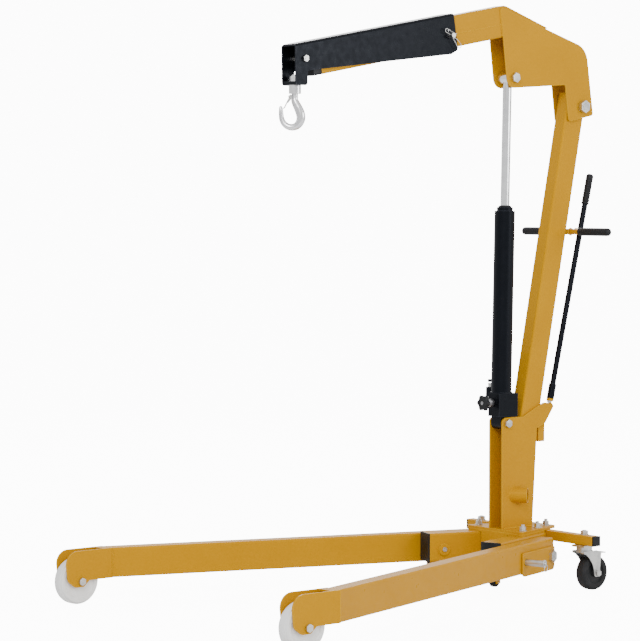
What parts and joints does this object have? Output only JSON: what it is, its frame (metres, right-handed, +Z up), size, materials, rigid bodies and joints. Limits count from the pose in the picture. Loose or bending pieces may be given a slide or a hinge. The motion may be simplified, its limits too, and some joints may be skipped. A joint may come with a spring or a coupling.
{
  "type": "engine hoist crane",
  "caption": "Folding hydraulic engine hoist: leaning mast, pivoting boom with sliding sleeve and hook, hand-pumped ram, folding V legs on wheels and rear castors.",
  "frame": {"origin": "on the floor under the middle of the machine's bounding box", "axes": "+Z up, boom and hook towards -Y, the castors and the push bar towards +Y, the legs side by side along X"},
  "size_m": [1.034, 1.4916, 1.6183],
  "materials": {
    "orange_paint": "semi-gloss powder coat",
    "black_paint": "gloss powder coat",
    "black_plastic": "moulded",
    "black_grip": "soft vinyl",
    "zinc": "zinc plated",
    "chrome": "hard chrome",
    "white_nylon": "turned nylon",
    "black_tyre": "solid rubber",
    "hook_steel": "bright zinc"
  },
  "bodies": {
    "base": {"base_arm_left": "orange_paint", "base_arm_right": "orange_paint", "base_deck": "orange_paint", "end_caps": "black_plastic", "foot_flange": "orange_paint", "foot_bolts": "zinc", "rear_beam": "orange_paint", "leg_bracket_left": "orange_paint", "leg_bracket_right": "orange_paint", "leg_pivot_bolts": "zinc", "castor_heads": "zinc", "post_plate_left": "orange_paint", "post_plate_right": "orange_paint", "post_heel": "orange_paint", "mast_tube": "orange_paint", "pivot_bush": "zinc", "boom_pivot_bolt": "zinc", "ram_lower_pin": "zinc", "side_socket": "orange_paint", "push_bar": "orange_paint", "push_grips": "black_grip", "handle_holders": "orange_paint"},
    "boom": {"boom_tube": "orange_paint", "boom_cap": "black_plastic", "boom_plate_left": "orange_paint", "boom_plate_right": "orange_paint", "ram_top_bolt": "zinc"},
    "sleeve": {"boom_sleeve": "black_paint", "hook_bolt": "zinc"},
    "sleeve_pin": {"sleeve_pin": "zinc"},
    "hook": {"hook": "hook_steel", "hook_collar_and_nut": "hook_steel"},
    "latch": {"hook_latch": "hook_steel"},
    "ram": {"ram_cylinder": "black_paint", "pump_block": "black_paint"},
    "rod": {"ram_rod": "chrome", "ram_piston": "zinc"},
    "release_knob": {"release_knob": "black_plastic"},
    "pump_lever": {"pump_lever": "black_paint"},
    "pump_plunger": {"pump_plunger": "zinc"},
    "pump_handle": {"pump_handle": "black_paint", "handle_grip": "black_grip"},
    "leg_left": {"leg_left": "orange_paint", "fork_left": "orange_paint", "front_axle_left": "zinc"},
    "front_wheel_left": {"front_wheel_left": "white_nylon"},
    "leg_pin_left": {"leg_pin_left": "zinc"},
    "castor_left": {"castor_yoke_left": "zinc"},
    "castor_wheel_left": {"castor_wheel_left": "black_tyre"},
    "castor_brake_left": {"castor_brake_left": "zinc"},
    "storage_wheel_left": {"storage_wheel_left": "black_tyre"},
    "leg_right": {"leg_right": "orange_paint", "fork_right": "orange_paint", "front_axle_right": "zinc"},
    "front_wheel_right": {"front_wheel_right": "white_nylon"},
    "leg_pin_right": {"leg_pin_right": "zinc"},
    "castor_right": {"castor_yoke_right": "zinc"},
    "castor_wheel_right": {"castor_wheel_right": "black_tyre"},
    "castor_brake_right": {"castor_brake_right": "zinc"},
    "storage_wheel_right": {"storage_wheel_right": "black_tyre"}
  },
  "joints": [
    {"name": "boom_pivot", "type": "hinge", "parent": "base", "child": "boom", "pos_m": [0, 0.7017, 1.345], "axis": [-1, 0, 0], "range_deg": [-40, 36]},
    {"name": "ram_tilt", "type": "hinge", "parent": "base", "child": "ram", "pos_m": [0, 0.4157, 0.459], "axis": [-1, 0, 0], "range_deg": [-2.5, 2.5]},
    {"name": "rod_slide", "type": "slide", "parent": "ram", "child": "rod", "axis": [0, 0.0229, 0.9997], "range_m": [-0.18, 0.165]},
    {"name": "sleeve_slide", "type": "slide", "parent": "boom", "child": "sleeve", "axis": [0, -0.9833, -0.1822], "range_m": [0, 0.3]},
    {"name": "sleeve_pin_pull", "type": "slide", "parent": "sleeve", "child": "sleeve_pin", "axis": [-1, 0, 0], "range_m": [0, 0.085]},
    {"name": "hook_swivel", "type": "hinge", "parent": "sleeve", "child": "hook", "pos_m": [0, -0.3183, 1.299], "axis": [0, 0, 1], "continuous": true},
    {"name": "latch_swing", "type": "hinge", "parent": "hook", "child": "latch", "pos_m": [-0.00919, -0.32749, 1.351], "axis": [0.7071, -0.7071, 0], "range_deg": [0, 18], "stiffness_Nm_per_rad": 0.02, "springref_deg": -17.19},
    {"name": "release_turn", "type": "hinge", "parent": "ram", "child": "release_knob", "pos_m": [0, 0.35102, 0.51749], "axis": [0, 0.9997, -0.0229], "range_deg": [0, 360]},
    {"name": "lever_stroke", "type": "hinge", "parent": "ram", "child": "pump_lever", "pos_m": [-0.044, 0.45434, 0.57415], "axis": [-1, 0, 0], "range_deg": [0, 25]},
    {"name": "plunger_slide", "type": "slide", "parent": "ram", "child": "pump_plunger", "axis": [0, 0.0229, 0.9997], "range_m": [0, 0.015]},
    {"name": "handle_lift", "type": "slide", "parent": "base", "child": "pump_handle", "axis": [0, 0.2368, 0.9715], "range_m": [0, 0.06]},
    {"name": "leg_fold_left", "type": "hinge", "parent": "base", "child": "leg_left", "pos_m": [-0.126, 0.4557, 0.097], "axis": [-0.9455, 0.3256, 0], "range_deg": [0, 90]},
    {"name": "leg_pin_pull_left", "type": "slide", "parent": "base", "child": "leg_pin_left", "axis": [-0.9455, 0.3256, 0], "range_m": [-0.0535, 0.02]},
    {"name": "front_roll_left", "type": "hinge", "parent": "leg_left", "child": "front_wheel_left", "pos_m": [-0.484, -0.6833, 0.0625], "axis": [1, 0, 0], "continuous": true},
    {"name": "castor_swivel_left", "type": "hinge", "parent": "base", "child": "castor_left", "pos_m": [-0.21, 0.5377, 0.11], "axis": [0, 0, 1], "continuous": true},
    {"name": "castor_roll_left", "type": "hinge", "parent": "castor_left", "child": "castor_wheel_left", "pos_m": [-0.21, 0.5667, 0.049], "axis": [1, 0, 0], "continuous": true},
    {"name": "brake_press_left", "type": "hinge", "parent": "castor_left", "child": "castor_brake_left", "pos_m": [-0.21, 0.5647, 0.105], "axis": [-1, 0, 0], "range_deg": [0, 7]},
    {"name": "storage_roll_left", "type": "hinge", "parent": "base", "child": "storage_wheel_left", "pos_m": [-0.12881, 0.27476, 0.046], "axis": [0.9455, -0.3256, 0], "continuous": true},
    {"name": "leg_fold_right", "type": "hinge", "parent": "base", "child": "leg_right", "pos_m": [0.126, 0.4557, 0.097], "axis": [-0.9455, -0.3256, 0], "range_deg": [0, 90]},
    {"name": "leg_pin_pull_right", "type": "slide", "parent": "base", "child": "leg_pin_right", "axis": [0.9455, 0.3256, 0], "range_m": [-0.0535, 0.02]},
    {"name": "front_roll_right", "type": "hinge", "parent": "leg_right", "child": "front_wheel_right", "pos_m": [0.484, -0.6833, 0.0625], "axis": [1, 0, 0], "continuous": true},
    {"name": "castor_swivel_right", "type": "hinge", "parent": "base", "child": "castor_right", "pos_m": [0.21, 0.5377, 0.11], "axis": [0, 0, 1], "continuous": true},
    {"name": "castor_roll_right", "type": "hinge", "parent": "castor_right", "child": "castor_wheel_right", "pos_m": [0.21, 0.5667, 0.049], "axis": [1, 0, 0], "continuous": true},
    {"name": "brake_press_right", "type": "hinge", "parent": "castor_right", "child": "castor_brake_right", "pos_m": [0.21, 0.5647, 0.105], "axis": [-1, 0, 0], "range_deg": [0, 7]},
    {"name": "storage_roll_right", "type": "hinge", "parent": "base", "child": "storage_wheel_right", "pos_m": [0.12881, 0.27476, 0.046], "axis": [0.9455, 0.3256, 0], "continuous": true}
  ],
  "couplings": [
    {"joint": "rod_slide", "follows": "boom_pivot", "m_per_rad": 0.25},
    {"joint": "ram_tilt", "follows": "boom_pivot", "ratio": 0.0447},
    {"joint": "plunger_slide", "follows": "lever_stroke", "m_per_rad": 0.03}
  ]
}
